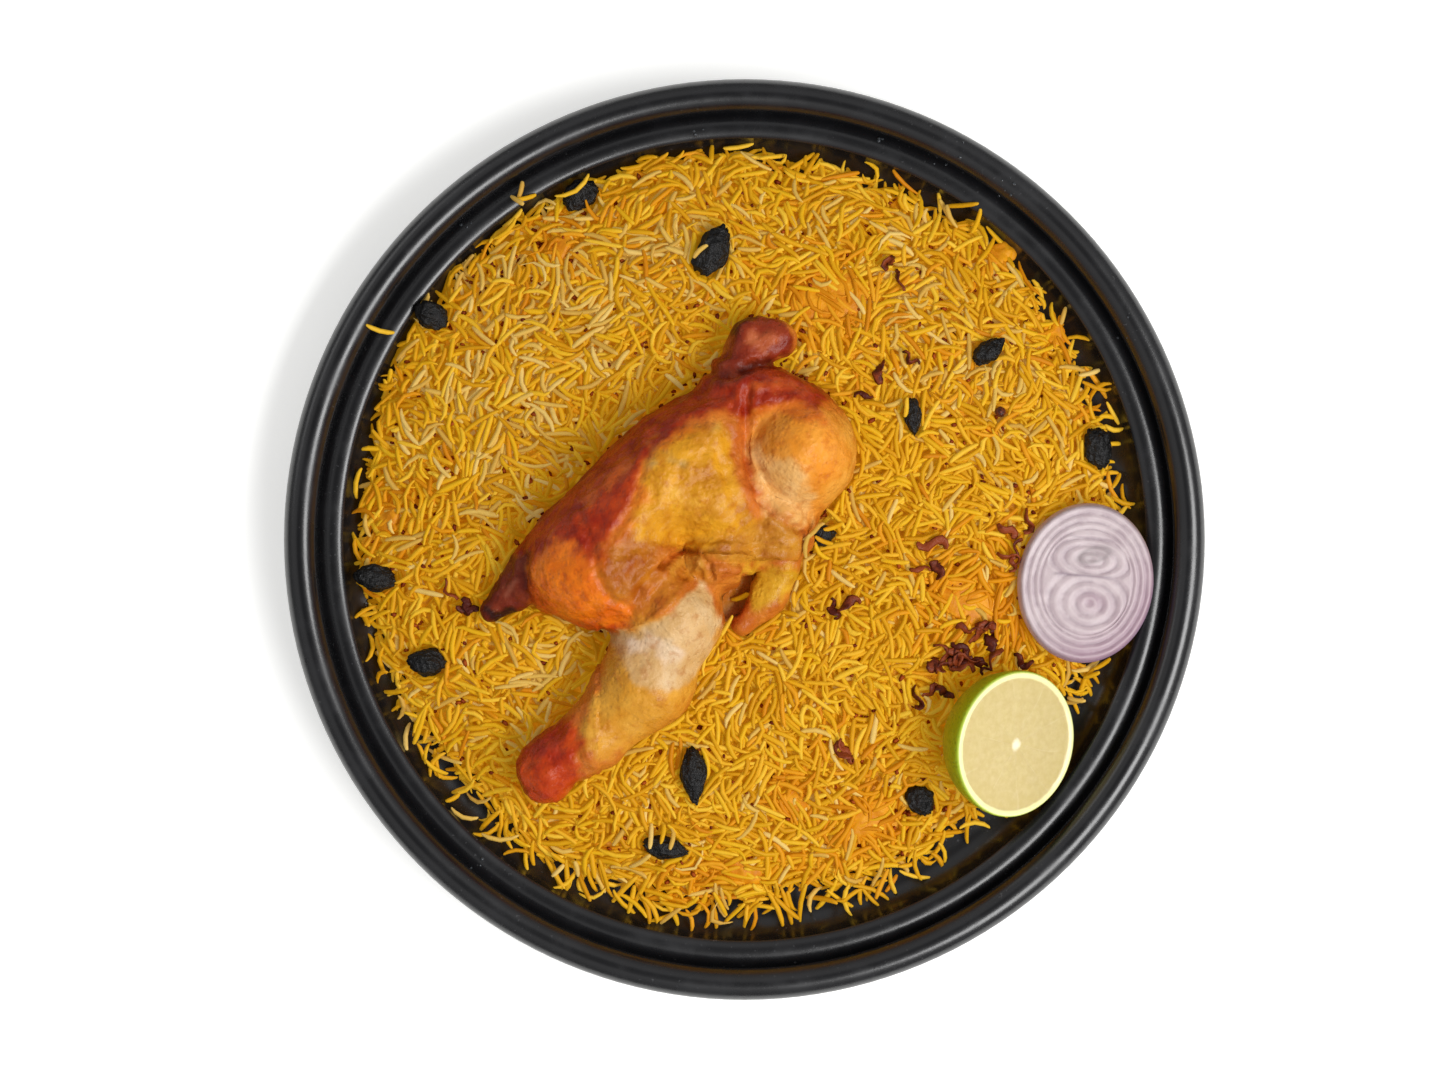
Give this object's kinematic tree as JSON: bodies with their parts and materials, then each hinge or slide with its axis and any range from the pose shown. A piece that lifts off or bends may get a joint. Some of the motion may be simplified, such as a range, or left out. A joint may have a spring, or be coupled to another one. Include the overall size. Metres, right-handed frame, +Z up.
{
  "type": "plate of chicken mandi",
  "caption": "Round rimmed dinner plate carrying a low mound of long-grain rice with half a roast chicken, half a lime, an onion slice and dark raisins.",
  "frame": {"origin": "middle of the plate's foot ring, at the height of the table", "axes": "+Z up out of the plate, +Y towards the side that the wing joint points to, +X towards the lime and the onion slice"},
  "size_m": [0.3198, 0.3198, 0.0599],
  "materials": {
    "plate": "black moulded melamine with a soft satin gloss",
    "rice": "cooked long-grain rice in saffron yellow, slightly moist",
    "chicken": "roast chicken skin from dark red-brown to gold and pale cream, oily",
    "lime": "yellow-green rind and wet pale pulp",
    "onion": "raw onion, moist, lilac rings",
    "raisin": "black wrinkled skin"
  },
  "bodies": {
    "root": {"plate": "plate", "rice_bed": "rice", "half_chicken": "chicken", "lime_half": "lime", "onion_slice": "onion", "raisin_01": "raisin", "raisin_02": "raisin", "raisin_03": "raisin", "raisin_04": "raisin", "raisin_05": "raisin", "raisin_06": "raisin", "raisin_07": "raisin", "raisin_08": "raisin", "raisin_09": "raisin", "raisin_10": "raisin", "raisin_11": "raisin", "raisin_12": "raisin"}
  },
  "joints": []
}
